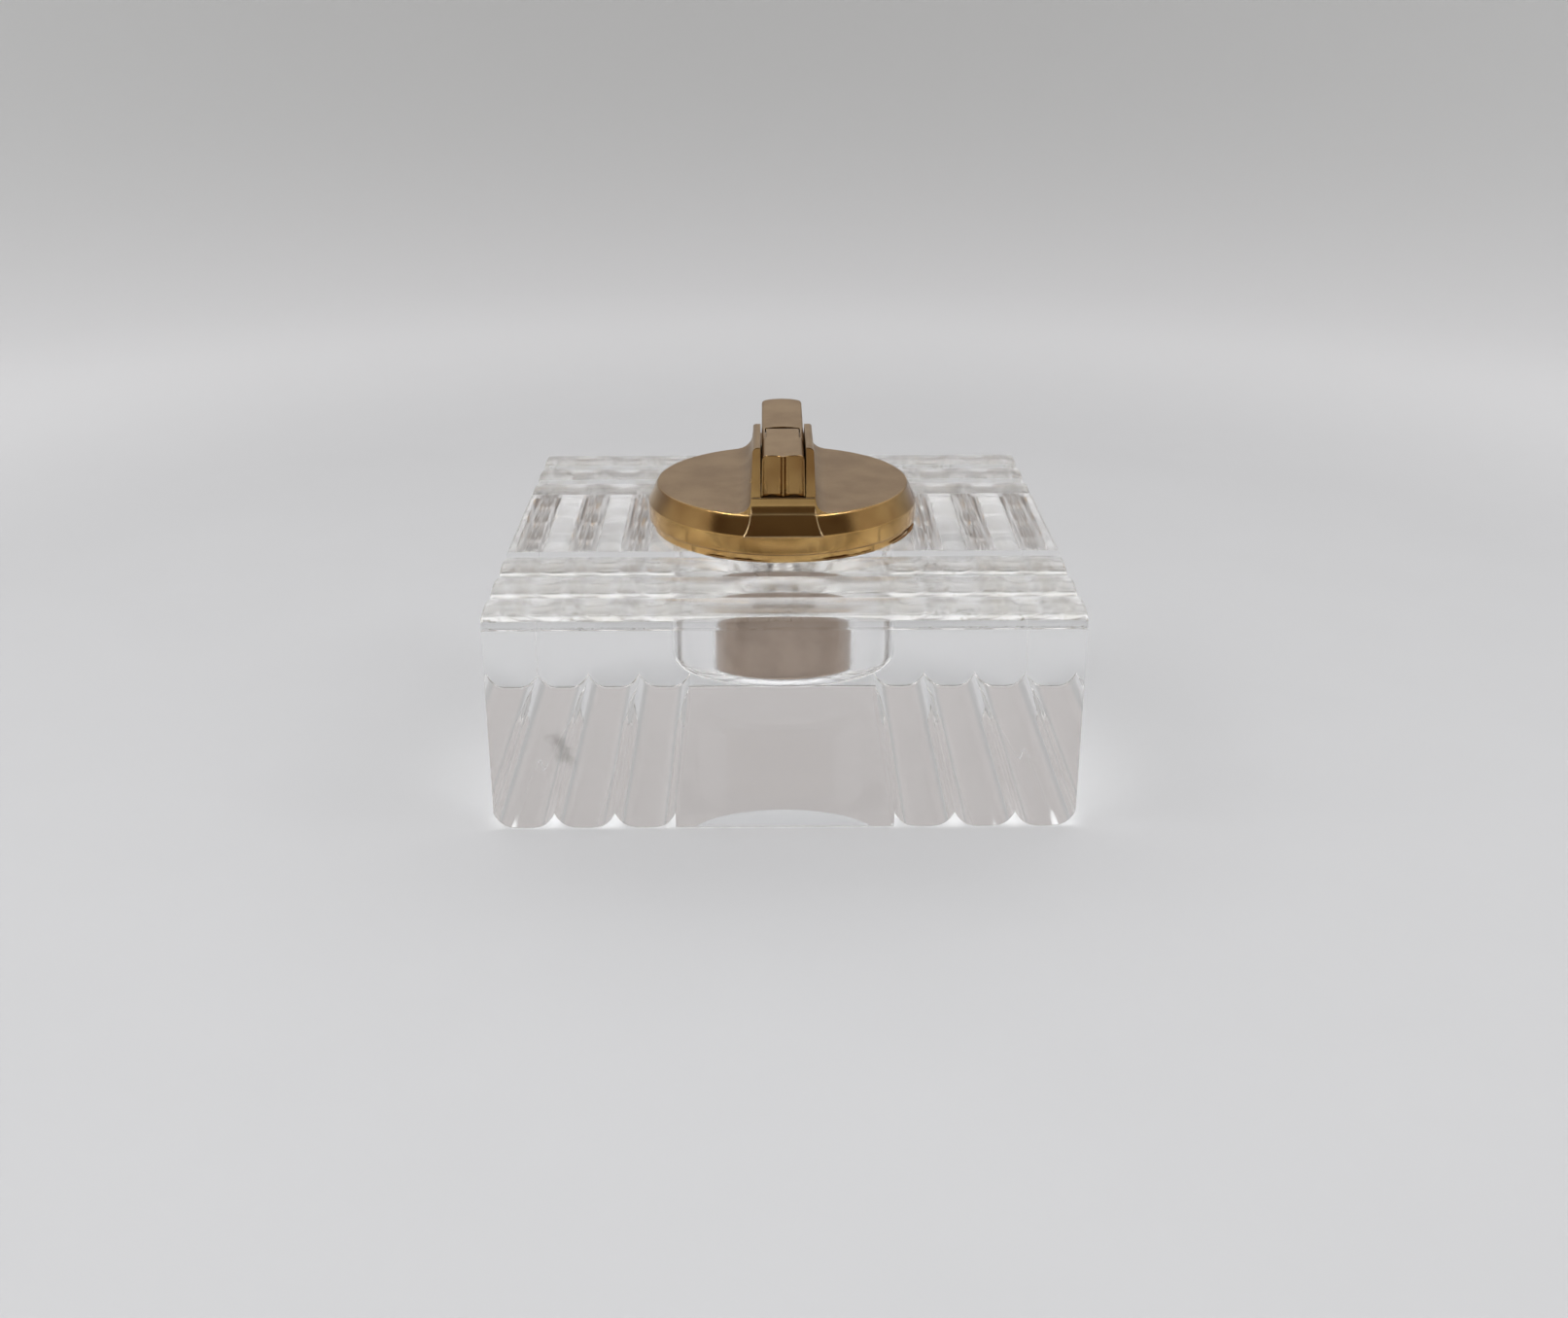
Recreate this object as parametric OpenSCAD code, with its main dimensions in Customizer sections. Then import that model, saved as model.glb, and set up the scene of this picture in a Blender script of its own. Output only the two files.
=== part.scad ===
// Square crystal table lighter. A clear glass block with ribbed edges stands on the
// table, and a brass petrol lighter drops into its pocket: a round cover with a raised
// ridge, a thumb lever that turns the spark wheel, and a snuffer hood over the wick.
// X runs left to right, Y front to back, Z up. The origin is the middle of the
// block's underside. Heights in the insert are counted from the block's top.

/* [Glass block] */
// Width of the block, left to right
block_w = 100; // [90:1:130]
// Depth of the block, front to back
block_d = 100; // [90:1:130]
// Height of the block
block_h = 39.4; // [36:0.2:60]
// Ribs along each of the four ribbed edges
rib_count = 3; // [1:1:3]
// Pitch of the ribs across the top
top_rib_pitch = 10.7; // [6:0.1:12]
// Pitch of the ribs across the underside
base_rib_pitch = 10.4; // [6:0.1:12]
// Depth of the grooves between ribs
rib_depth = 2.8; // [2:0.1:4]
// Radius of the low crown of a top rib
rib_crown_r = 11; // [8:0.5:40]
// Radius of a top rib's round shoulders
rib_shoulder_r = 1.1; // [0.6:0.1:1.6]
// Slope of a top rib's flat flanks
rib_flank = 76; // [70:1:82]
// Squareness of a lower rib's crown, where 2 is a parabola
rib_power = 3.6; // [2:0.1:6]
// Chamfer on the four upright edges
block_chamfer = 0.7; // [0.2:0.1:3]
// Gap between the fuel tank and the pocket's wall
pocket_play = 0.8; // [0.6:0.1:1.4]
// Radius at the foot of the pocket's wall
pocket_corner_r = 3; // [1:0.5:4]
// Air under the fuel tank
pocket_floor_gap = 0.8; // [0.4:0.1:4]

/* [Base plate and tank] */
// Step from the cover's band in to the base plate's edge
plate_step = 0.9; // [0.4:0.1:1.2]
// Thickness of the base plate
plate_t = 1.45; // [1.2:0.05:2.5]
// Step from the tank head in to the fuel tank's wall
tank_step = 0.3; // [0.2:0.1:1]
// Depth of the fuel tank below the block's top
tank_drop = 20.8; // [18:0.2:30]
// Sheet thickness of the tank
tank_wall = 0.6; // [0.4:0.1:1]
// Radius of the tank's lower edge, which is also the width of its rim
tank_edge_r = 1.6; // [1.2:0.1:2]
// Depth of the recess under the tank that hides the screw heads
tank_recess = 2.1; // [2:0.1:3]
// Thickness of the tank's floor
tank_floor_t = 1; // [0.8:0.1:2]
// Gap between the wide tank head and the cover's screw bosses
head_gap = 0.4; // [0.2:0.1:2]
// Height of the tank head
head_h = 4.8; // [4:0.1:5]
// Height of the rubber ring that grips the pocket
seal_h = 4; // [2:0.5:6]
// Play between the ring and the pocket
seal_gap = 0.2; // [0.1:0.05:0.5]

/* [Cover] */
// Diameter of the cover's band
cover_d = 50.4; // [50:0.2:54]
// Width of the bevel, from the band in to the flat top
bevel_run = 1.65; // [1.2:0.05:2.5]
// Height of the upright band
band_h = 3.5; // [2.5:0.1:5]
// Height of the bevel above the band
bevel_h = 3.4; // [2.5:0.1:5]
// Thickness of the cover
cover_wall = 1.2; // [0.8:0.1:1.6]
// Break of the cover's outer edges
cover_edge = 0.35; // [0.1:0.05:0.6]
// Width of the ridge across the cover
ridge_w = 11.4; // [10.8:0.1:14]
// Height of the ridge above the flat top
ridge_h = 3; // [2.9:0.1:5]
// Length of the ridge, front to back
ridge_len = 45; // [44:0.5:45.5]
// Radius of the hollow fillets beside the ridge
ridge_fillet = 2.8; // [1:0.1:2.9]
// Radius of the hollow sweep at the ridge's ends
prow_r = 2; // [1:0.1:2.4]
// Radius of the flared sides of the ridge's ends
prow_flare_r = 3.6; // [2:0.1:5]
// Length of the ridge's ends inside the ridge
prow_root = 3; // [2:0.5:4]
// How far the ridge's ends stand proud of the band
prow_proud = 0.25; // [0.1:0.05:0.6]

/* [Cheeks and slot] */
// Width of the slot between the cheeks
slot_w = 8; // [7.8:0.1:8.6]
// Step from the ridge's end to the front end of the slot
slot_step = 3.3; // [2.9:0.1:3.6]
// Rear end of the slot, counted from the middle
slot_rear = 9.5; // [8:0.1:14]
// Height of the cheeks above the ridge
cheek_h = 9.1; // [8:0.1:11]
// Draft of each cheek's outer face, foot to top
cheek_draft = 0.33; // [0.1:0.01:0.5]
// Radius of the cheeks' top outer edges
cheek_edge_r = 0.9; // [0.3:0.1:1.2]
// Radius where the cheeks' level top turns down to the slope
cheek_shoulder_r = 2; // [1:0.1:4]
// Step from the ridge's end to the cheeks
cheek_setback = 0.2; // [0.1:0.1:1]
// Length of the cheeks' level top
cheek_top_len = 16.3; // [12:0.1:18]
// Length of the cheeks at their foot
cheek_foot_len = 32.8; // [28:0.1:34]

/* [Snuffer hood] */
// Width of the hood
hood_w = 7.7; // [7:0.1:7.7]
// Draft of each side of the hood, foot to top
hood_draft = 0.15; // [0:0.01:0.3]
// Step from the ridge's end to the hood
hood_setback = 0.3; // [0.2:0.1:1]
// Height of the hood's front edge above the ridge
hood_front_h = 7.4; // [6.8:0.05:8]
// Rise of the hood's top from its front edge to the tongue's end
hood_rise = 0.7; // [0.3:0.05:1]
// Thickness of the hood's walls
hood_wall = 0.65; // [0.5:0.05:0.8]
// Thickness of the fluted front
hood_front_t = 1.7; // [1.5:0.1:2.1]
// Depth of the two upright flutes
flute_depth = 1; // [0.3:0.05:1.1]
// Play under the hood
hood_play = 0.2; // [0.1:0.05:0.4]
// Width of the tongue between the fork arms
tongue_w = 6; // [5.6:0.1:6]
// Thickness of the tongue's top
tongue_wall = 0.45; // [0.4:0.05:0.5]
// Length of the tongue behind its pin
tongue_rear = 2.95; // [2.6:0.05:3.1]
// Radius of the tongue's rear corners
tongue_corner_r = 0.7; // [0.3:0.1:1]
// Distance from the middle forward to the hood's pin
hood_pin_y = 8.3; // [8:0.1:8.6]
// Height of the hood's pin above the ridge
hood_pin_up = 5.95; // [5.8:0.05:6]
// Inner diameter of the snuffer cup
cup_bore = 4; // [3.8:0.1:4.2]
// Wall of the snuffer cup
cup_wall = 0.5; // [0.3:0.1:0.6]
// Overlap of the snuffer cup over the wick tube
cup_overlap = 0.6; // [0.3:0.1:0.8]
// Thickness of the sealing pad in the cup
pad_t = 1; // [0.5:0.1:1.5]

/* [Thumb lever] */
// Width of the thumb lever
lever_w = 7.6; // [7:0.1:7.7]
// Thickness of the lever's side arms
arm_t = 0.62; // [0.5:0.02:0.64]
// Thickness of the thumb plate
thumb_t = 1.1; // [0.8:0.1:1.4]
// Rear end of the lever, counted from the middle
lever_rear = 13; // [11:0.5:15]
// Height of the lever's top at its front above the ridge
lever_front_h = 8.3; // [8:0.05:8.6]
// Rise of the lever's top to its rear end
lever_rise = 0.95; // [0.3:0.05:1.5]
// Crown of the thumb plate across its width
lever_crown = 0.4; // [0.1:0.05:0.5]
// Radius of the lever's top side edges
lever_edge_r = 0.5; // [0.3:0.1:0.6]
// Radius of the lever's rear corners
lever_corner_r = 1.2; // [0.4:0.1:2]
// Radius of the fork's round ends
fork_r = 3; // [2.8:0.05:3]
// Gap between the fork's round ends and the hood
fork_gap = 0.2; // [0.15:0.01:0.25]
// Gap between the tongue's end and the thumb plate
tongue_gap = 0.65; // [0.6:0.05:0.8]
// Distance from the middle forward to the lever's axle
lever_axle_y = 1.5; // [1:0.1:2]
// Height of the lever's axle above the ridge
lever_axle_up = 3.25; // [3:0.05:3.5]
// Radius of the lever's lug round the axle
lug_r = 1.9; // [1.5:0.1:2]
// Distance from the middle back to the return spring
spring_y = 5.5; // [4:0.5:7]
// Outer diameter of the return spring
spring_d = 3.6; // [3:0.1:4.4]
// Wire of the return spring
spring_wire = 0.5; // [0.4:0.05:0.6]
// Turns of the return spring
spring_turns = 8; // [6:1:10]

/* [Spark wheel] */
// Distance from the middle forward to the wheel's axle
wheel_y = 8; // [7.8:0.1:8.2]
// Depth of the wheel's axle below the ridge
wheel_down = 0.75; // [0.6:0.05:1]
// Diameter of the spark wheel
wheel_d = 7.2; // [6.6:0.1:7.3]
// Width of the spark wheel
wheel_w = 3; // [2.6:0.1:3]
// Left face of the spark wheel, from the middle
wheel_left = 2.2; // [2.1:0.1:2.3]
// Teeth of the spark wheel
wheel_teeth = 28; // [18:1:36]
// Depth of the spark wheel's teeth
wheel_tooth = 0.3; // [0.2:0.05:0.4]
// Outer diameter of the ratchet wheel
ratchet_d = 5.4; // [5:0.1:5.6]
// Width of the ratchet wheel
ratchet_w = 0.9; // [0.8:0.05:1]
// Teeth of the ratchet wheel
ratchet_teeth = 10; // [8:1:12]
// Depth of the ratchet's teeth
ratchet_tooth = 0.6; // [0.4:0.05:0.7]
// Diameter of the hubs on both sides
hub_d = 2.8; // [2.4:0.1:3]
// Wall of the pawl round its pin
pawl_wall = 0.42; // [0.3:0.02:0.44]
// Diameter of every axle and pin
pin_d = 1.5; // [1.3:0.1:1.6]
// Running play of a bore on its pin, on the radius
pin_play = 0.05; // [0.02:0.01:0.08]
// Play of a pin in the walls that hold it, on the radius
pin_seat = 0.02; // [0.01:0.01:0.04]

/* [Flint, wick and screws] */
// Diameter of the flint
flint_d = 2.5; // [2.2:0.1:2.6]
// Length of the flint
flint_len = 4.5; // [3:0.5:5]
// Play of the flint in its tube, on the radius
flint_play = 0.1; // [0.05:0.01:0.15]
// Gap between the flint and the wheel
flint_gap = 0.1; // [0.05:0.05:0.3]
// Outer diameter of the flint tube
flint_tube_d = 4.2; // [3.8:0.1:4.4]
// Wire of the flint spring
flint_wire = 0.35; // [0.3:0.05:0.4]
// Turns of the flint spring
flint_turns = 11; // [8:1:14]
// Diameter of the flint screw's head
flint_head_d = 5.6; // [4.6:0.1:6]
// Length of the flint screw's shank
flint_shank = 5; // [3:0.5:7]
// Height of the screw heads under the tank
screw_head_h = 1.4; // [1:0.1:1.5]
// Width of the screwdriver slots
screw_slot = 0.8; // [0.5:0.1:1]
// Distance from the middle back to the filler screw
filler_y = 5.5; // [5:0.1:6.5]
// Diameter of the filler screw's head
filler_head_d = 6.6; // [6:0.1:7.4]
// Diameter of the filler screw's shank
filler_d = 4; // [3.4:0.1:4.6]
// Length of the filler screw's shank
filler_shank = 4.5; // [3:0.5:6]
// Wall of the filler boss
filler_boss_wall = 1.2; // [0.8:0.1:1.6]
// Thickness of the filler gasket
gasket_t = 0.5; // [0.3:0.1:0.6]
// Distance from the hood's front back to the wick
wick_back = 6.4; // [6.2:0.1:6.7]
// Diameter of the wick
wick_d = 2.3; // [2:0.1:2.4]
// Wall of the wick tube
wick_wall = 0.4; // [0.3:0.05:0.45]
// Height of the wick tube above the ridge
wick_tube_up = 2.3; // [1.5:0.1:2.6]
// Bare wick above its tube
wick_bare = 0.9; // [0.5:0.1:1.4]
// Screws that hold the cover to the base plate
cover_screw_count = 4; // [3:1:6]
// Diameter of the cover screws' thread
cover_screw_d = 1.6; // [1.4:0.1:1.8]
// Length of the cover screws
cover_screw_len = 4.4; // [3:0.2:5]
// Distance from the flat top's edge in to the middle of the cover screws
cover_screw_in = 1.65; // [1.6:0.05:2.4]
// Wall of the cover's bosses round these screws
cover_boss_wall = 0.7; // [0.5:0.1:0.8]

/* [Hidden] */

// Circles are drawn with this many sides, and arcs in outlines with this many steps
$fn = 96;
ARC_STEPS = 6;
RIB_STEPS = 6;
// Cutters reach this far past the face that they cut
PAST = 1;
// Thickness of the web that joins the hood's sides to the tongue's ears
WEB_T = 0.6;
// Straight edges meet a round boss this far inside it
INSET = 0.3;
// Angle that the hollow sweep at the ridge's ends turns through
PROW_TURN = 60;
// Sheet that is soldered into a hole leaves this gap all round
SOLDER = 0.03;
// A rounded section reaches this far past the side that it rounds
SKIM = 0.05;

// Diameters in the cover, from the outside in
plate_d = cover_d - 2 * plate_step;
cover_top_d = cover_d - 2 * bevel_run;
cover_screw_at = cover_top_d / 2 - cover_screw_in;
cover_boss_d = cover_screw_d + 2 * cover_boss_wall;
head_d = 2 * (cover_screw_at - cover_boss_d / 2 - head_gap);
tank_d = head_d - 2 * tank_step;
pocket_d = tank_d + 2 * pocket_play;

// Heights of the main levels
seat_z = block_h;
plate_top = seat_z + plate_t;
band_top = plate_top + band_h;
cover_top = band_top + bevel_h;
deck_z = cover_top + ridge_h;
cheek_top = deck_z + cheek_h;
tank_bottom = seat_z - tank_drop;
tank_floor = tank_bottom + tank_recess;
tank_inside = tank_floor + tank_floor_t;
head_top = plate_top + head_h;
pocket_floor = tank_bottom - pocket_floor_gap;

// Places along the ridge, as Y and Z
ridge_front = -ridge_len / 2;
hood_front = ridge_front + hood_setback;
wick_y = -(hood_front + wick_back);
slot_front = -(ridge_front + slot_step);
hood_pin_at = [-hood_pin_y, deck_z + hood_pin_up];
lever_axle_at = [-lever_axle_y, deck_z + lever_axle_up];
wheel_at = [-wheel_y, deck_z - wheel_down];

// The hood's top rises from front to rear, and so does the lever's
hood_bottom = deck_z + hood_play;
hood_front_top = deck_z + hood_front_h;
tongue_end = hood_pin_at[0] + tongue_rear;
hood_pitch = atan(hood_rise / (tongue_end - hood_front));
hood_ceiling = hood_front_top - hood_wall;
thumb_front = tongue_end + tongue_gap;
lever_front_top = deck_z + lever_front_h;
lever_pitch = atan(lever_rise / (lever_rear - thumb_front));
ear_r = fork_r - 0.4;
web_y = hood_pin_at[0] - fork_r - fork_gap;
tongue_ceiling = hood_front_top + (web_y - hood_front) * tan(hood_pitch) - tongue_wall;

// The spark wheel, its ratchet and the pawl lie side by side
wheel_right = wheel_w - wheel_left;
wheel_mid = (wheel_right - wheel_left) / 2;
ratchet_right = wheel_right + ratchet_w;
hub_end = slot_w / 2 - 0.15;
flint_top = wheel_at[1] - wheel_d / 2 - flint_gap;
flint_bore = flint_d + 2 * flint_play;
flint_tube_top = flint_top - 0.4;
wick_tube_d = wick_d + 2 * (wick_wall + 0.05);
wick_tube_top = deck_z + wick_tube_up;
wick_bottom = plate_top + 0.4;

// Steps of an arc from angle a0 to a1 round the point c
function arc(c, r, a0, a1, steps = ARC_STEPS) =
  [for (i = [0:steps]) let (a = a0 + (a1 - a0) * i / steps)
    [c[0] + r * cos(a), c[1] + r * sin(a)]];

function flipped(points) = [for (i = [len(points) - 1:-1:0]) [-points[i][0], points[i][1]]];

// Middle of a top rib's shoulder, tangent to its crown and to its flank
function shoulder_at() =
  let (c = 1 / tan(rib_flank), inner_r = rib_crown_r - rib_shoulder_r,
    a = top_rib_pitch / 2 - (rib_shoulder_r + rib_depth * cos(rib_flank)) / sin(rib_flank),
    b = rib_crown_r - a * c, e = a * a + rib_crown_r * rib_crown_r - inner_r * inner_r,
    down = (b - sqrt(b * b - (1 + c * c) * e)) / (1 + c * c))
  [a + c * down, -down];

// Half a top rib from the middle of its crown out to the groove, as place and height
function top_rib() =
  let (at = shoulder_at(), turn = atan(at[0] / (rib_crown_r + at[1])),
    crown = arc([0, -rib_crown_r], rib_crown_r, 90, 90 - turn, 3),
    shoulder = arc(at, rib_shoulder_r, 90 - turn, 90 - rib_flank, RIB_STEPS))
  concat(crown, [for (i = [1:RIB_STEPS]) shoulder[i]], [[top_rib_pitch / 2, -rib_depth]]);

// Half a lower rib, also with its crown at height 0
function base_rib() =
  [for (i = [0:RIB_STEPS]) [base_rib_pitch / 2 * i / RIB_STEPS,
    -rib_depth * pow(i / RIB_STEPS, rib_power)]];

// Outline of rib_count ribs from the place start, each pitch wide
function ribs(start, pitch, half) =
  let (whole = concat(flipped(half), [for (i = [1:len(half) - 1]) half[i]]))
  [for (i = [0:rib_count - 1]) for (k = [(i == 0 ? 0 : 1):len(whole) - 1])
    [start + (i + 0.5) * pitch + whole[k][0], whole[k][1]]];

// Extrudes an outline drawn in Y and Z along X
module along_x(length, from) {
  translate([from, 0, 0])
    rotate([90, 0, 90])
      linear_extrude(length) children();
}

// Extrudes an outline drawn in X and Z along Y
module along_y(length, from) {
  translate([0, from + length, 0])
    rotate([90, 0, 0])
      linear_extrude(length) children();
}

// A round bar along X, centred on X = 0 unless a start is given
module bar_x(at, d, length, from) {
  translate([is_undef(from) ? -length / 2 : from, at[0], at[1]])
    rotate([0, 90, 0])
      cylinder(d = d, h = length);
}

module block_top_outline() {
  front = [for (p = ribs(-block_d / 2, top_rib_pitch, top_rib())) [p[0], block_h + p[1]]];
  flat_y = block_d / 2 - rib_count * top_rib_pitch;
  polygon(concat([[-block_d / 2, -PAST]], front, [[-flat_y, block_h], [flat_y, block_h]],
    flipped(front), [[block_d / 2, -PAST]]));
}

module block_base_outline() {
  left = [for (p = ribs(-block_w / 2, base_rib_pitch, base_rib())) [p[0], -p[1]]];
  flat_x = block_w / 2 - rib_count * base_rib_pitch;
  polygon(concat([[-block_w / 2, block_h + PAST]], left, [[-flat_x, 0], [flat_x, 0]],
    flipped(left), [[block_w / 2, block_h + PAST]]));
}

module block_plan() {
  w = block_w / 2;
  d = block_d / 2;
  c = block_chamfer;
  polygon([[-w + c, -d], [w - c, -d], [w, -d + c], [w, d - c],
    [w - c, d], [-w + c, d], [-w, d - c], [-w, -d + c]]);
}

module pocket() {
  r = pocket_d / 2;
  c = pocket_corner_r;
  rotate_extrude()
    polygon(concat([[0, block_h + PAST], [0, pocket_floor]],
      arc([r - c, pocket_floor + c], c, -90, 0), [[r, block_h + PAST]]));
}

module glass_block() {
  color([0.86, 0.89, 0.9, 0.4])
    difference() {
      intersection() {
        along_x(block_w, -block_w / 2) block_top_outline();
        along_y(block_d, -block_d / 2) block_base_outline();
        translate([0, 0, -PAST])
          linear_extrude(block_h + 2 * PAST) block_plan();
      }
      pocket();
    }
}

module seal_ring() {
  color([0.16, 0.15, 0.14])
    translate([0, 0, seat_z - seal_h])
      difference() {
        cylinder(d = pocket_d - 2 * seal_gap, h = seal_h);
        translate([0, 0, -PAST])
          cylinder(d = tank_d + 2 * SOLDER, h = seal_h + 2 * PAST);
      }
}

// Places children at each cover screw
module at_cover_screws() {
  for (i = [0:cover_screw_count - 1])
    rotate([0, 0, (i + 0.5) * 360 / cover_screw_count])
      translate([cover_screw_at, 0, seat_z])
        children();
}

// A countersunk screw with its head down, grown by gap for the hole that it needs
module cover_screw_form(gap) {
  d = cover_screw_d + 2 * gap;
  sink = cover_screw_d / 2;
  cylinder(d1 = d + 2 * sink, d2 = d, h = sink);
  cylinder(d = d, h = cover_screw_len + gap);
}

module base_plate() {
  color([0.72, 0.56, 0.32])
    difference() {
      translate([0, 0, seat_z])
        cylinder(d = plate_d, h = plate_t);
      translate([0, 0, seat_z - PAST])
        cylinder(d = tank_d + 2 * SOLDER, h = plate_t + 2 * PAST);
      at_cover_screws() cover_screw_form(SOLDER);
    }
}

module fuel_tank() {
  r = tank_d / 2;
  edge = tank_edge_r;
  boss_d = filler_d + 2 * filler_boss_wall;
  color([0.62, 0.58, 0.52])
    difference() {
      union() {
        translate([0, 0, tank_bottom])
          rotate_extrude()
            polygon(concat(arc([r - edge, edge], edge, -90, 0),
              [[r, plate_top - tank_bottom], [r - tank_wall, plate_top - tank_bottom],
              [r - tank_wall, tank_recess + tank_floor_t], [0, tank_recess + tank_floor_t],
              [0, tank_recess], [r - edge, tank_recess]]));
        translate([0, filler_y, tank_inside - SOLDER])
          cylinder(d = boss_d, h = filler_shank - tank_floor_t);
      }
      translate([0, filler_y, tank_bottom])
        cylinder(d = filler_d + 2 * pin_play, h = tank_drop);
      translate([wheel_mid, wheel_at[0], tank_bottom])
        cylinder(d = flint_tube_d + 2 * SOLDER, h = tank_drop);
    }
}

module tank_head() {
  color([0.66, 0.62, 0.55])
    difference() {
      union() {
        translate([0, 0, plate_top])
          cylinder(d = head_d, h = head_h);
        translate([0, spring_y, head_top])
          cylinder(d = spring_d - 2 * spring_wire - 0.4, h = 1.2);
      }
      translate([0, 0, plate_top - PAST])
        cylinder(d = head_d - 2 * tank_wall, h = head_h - tank_wall + PAST);
      translate([wheel_mid, wheel_at[0], plate_top])
        cylinder(d = flint_tube_d + 2 * SOLDER, h = head_h + PAST);
      translate([0, -wick_y, plate_top])
        cylinder(d = wick_tube_d + 2 * SOLDER, h = head_h + PAST);
    }
}

module cotton_packing() {
  play = 0.1;
  boss_d = filler_d + 2 * filler_boss_wall;
  color([0.93, 0.91, 0.86])
    difference() {
      union() {
        translate([0, 0, tank_inside + play])
          cylinder(d = tank_d - 2 * tank_wall - 2 * play, h = plate_top - tank_inside);
        translate([0, 0, plate_top + play])
          cylinder(d = head_d - 2 * tank_wall - 2 * play, h = head_h - tank_wall - 3 * play);
      }
      translate([0, filler_y, tank_inside])
        cylinder(d = boss_d + 2 * play, h = filler_shank - tank_floor_t + play);
      translate([wheel_mid, wheel_at[0], tank_inside])
        cylinder(d = flint_tube_d + 2 * play, h = head_top - tank_inside);
      translate([0, -wick_y, wick_bottom - play])
        cylinder(d = wick_tube_d + 2 * play, h = head_h);
    }
}

module filler_gasket() {
  color([0.35, 0.12, 0.08])
    translate([0, filler_y, tank_floor - gasket_t])
      difference() {
        cylinder(d = filler_head_d - 0.4, h = gasket_t);
        translate([0, 0, -PAST])
          cylinder(d = filler_d + 0.2, h = gasket_t + 2 * PAST);
      }
}

// A slotted screw that points up, with the top of its head at height 0
module slotted_screw(head_d, shank_d, shank_len) {
  difference() {
    union() {
      translate([0, 0, -screw_head_h])
        cylinder(d = head_d, h = screw_head_h);
      cylinder(d = shank_d, h = shank_len);
    }
    translate([-head_d, -screw_slot / 2, -screw_head_h - PAST])
      cube([2 * head_d, screw_slot, screw_head_h / 2 + PAST]);
  }
}

module filler_screw() {
  color([0.76, 0.6, 0.35])
    translate([0, filler_y, tank_floor - gasket_t])
      slotted_screw(filler_head_d, filler_d, filler_shank);
}

module flint_tube() {
  color([0.74, 0.6, 0.38])
    translate([wheel_mid, wheel_at[0], tank_floor])
      difference() {
        cylinder(d = flint_tube_d, h = flint_tube_top - tank_floor);
        translate([0, 0, -PAST])
          cylinder(d = flint_bore, h = flint_tube_top - tank_floor + 2 * PAST);
      }
}

module flint_screw() {
  color([0.76, 0.6, 0.35])
    translate([wheel_mid, wheel_at[0], tank_floor])
      slotted_screw(flint_head_d, flint_bore - 2 * pin_play, flint_shank);
}

module flint() {
  color([0.33, 0.33, 0.34])
    translate([wheel_mid, wheel_at[0], flint_top - flint_len])
      cylinder(d = flint_d, h = flint_len);
}

// A coil of round wire that stands on z = 0, with its axis on Z
module coil(outer_d, wire, height, turns, rings_per_turn = 14, sides = 6) {
  rings = turns * rings_per_turn;
  rise = height - wire;
  mid_r = (outer_d - wire) / 2;
  points = [for (i = [0:rings]) for (j = [0:sides - 1])
    let (a = 360 * i / rings_per_turn, b = 360 * j / sides, r = mid_r + wire / 2 * cos(b))
    [r * cos(a), r * sin(a), wire / 2 + rise * i / rings + wire / 2 * sin(b)]];
  wall = [for (i = [0:rings - 1]) for (j = [0:sides - 1]) for (half = [0, 1])
    let (k = (j + 1) % sides, p = i * sides, q = (i + 1) * sides)
    half == 0 ? [p + j, p + k, q + k] : [p + j, q + k, q + j]];
  polyhedron(points, concat([[for (j = [sides - 1:-1:0]) j]], wall,
    [[for (j = [0:sides - 1]) rings * sides + j]]), convexity = 10);
}

module flint_spring() {
  foot = tank_floor + flint_shank + 0.1;
  color([0.7, 0.7, 0.7])
    translate([wheel_mid, wheel_at[0], foot])
      coil(flint_d, flint_wire, flint_top - flint_len - 0.1 - foot, flint_turns, 12);
}

module wick_tube() {
  flange_d = wick_tube_d + 2;
  color([0.78, 0.62, 0.36])
    translate([0, -wick_y, wick_bottom])
      difference() {
        union() {
          cylinder(d = wick_tube_d, h = wick_tube_top - wick_bottom);
          translate([0, 0, head_top - wick_bottom])
            cylinder(d = flange_d, h = 0.5);
        }
        translate([0, 0, -PAST])
          cylinder(d = wick_d + 0.1, h = wick_tube_top - wick_bottom + 2 * PAST);
      }
}

module wick() {
  color([0.9, 0.88, 0.82])
    translate([0, -wick_y, wick_bottom])
      cylinder(d = wick_d, h = wick_tube_top + wick_bare - wick_bottom);
}

// The round cover's half outline, with the hollow side left to the inner outline
module cover_outline() {
  e = cover_edge;
  rb = cover_d / 2;
  rt = cover_top_d / 2;
  h = band_h + bevel_h;
  polygon([[0, 0], [rb - e, 0], [rb, e], [rb, band_h], [rt + 0.15 * e, h - 0.7 * e],
    [rt - 0.3 * e, h - 0.25 * e], [rt - e, h], [0, h]]);
}

module cover_hollow() {
  w = cover_wall;
  rotate_extrude()
    polygon([[0, -PAST], [cover_d / 2 - w, -PAST], [cover_d / 2 - w, band_h],
      [cover_top_d / 2 - w, band_h + bevel_h - w], [0, band_h + bevel_h - w]]);
}

// The ridge in X and Z, with its hollow fillets down to the flat top
module ridge_section() {
  w = ridge_w / 2;
  f = ridge_fillet;
  right = concat([[w + f, cover_top - cover_wall / 2]],
    arc([w + f, cover_top + f], f, 270, 180), [[w, deck_z]]);
  polygon(concat(right, flipped(right)));
}

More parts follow.
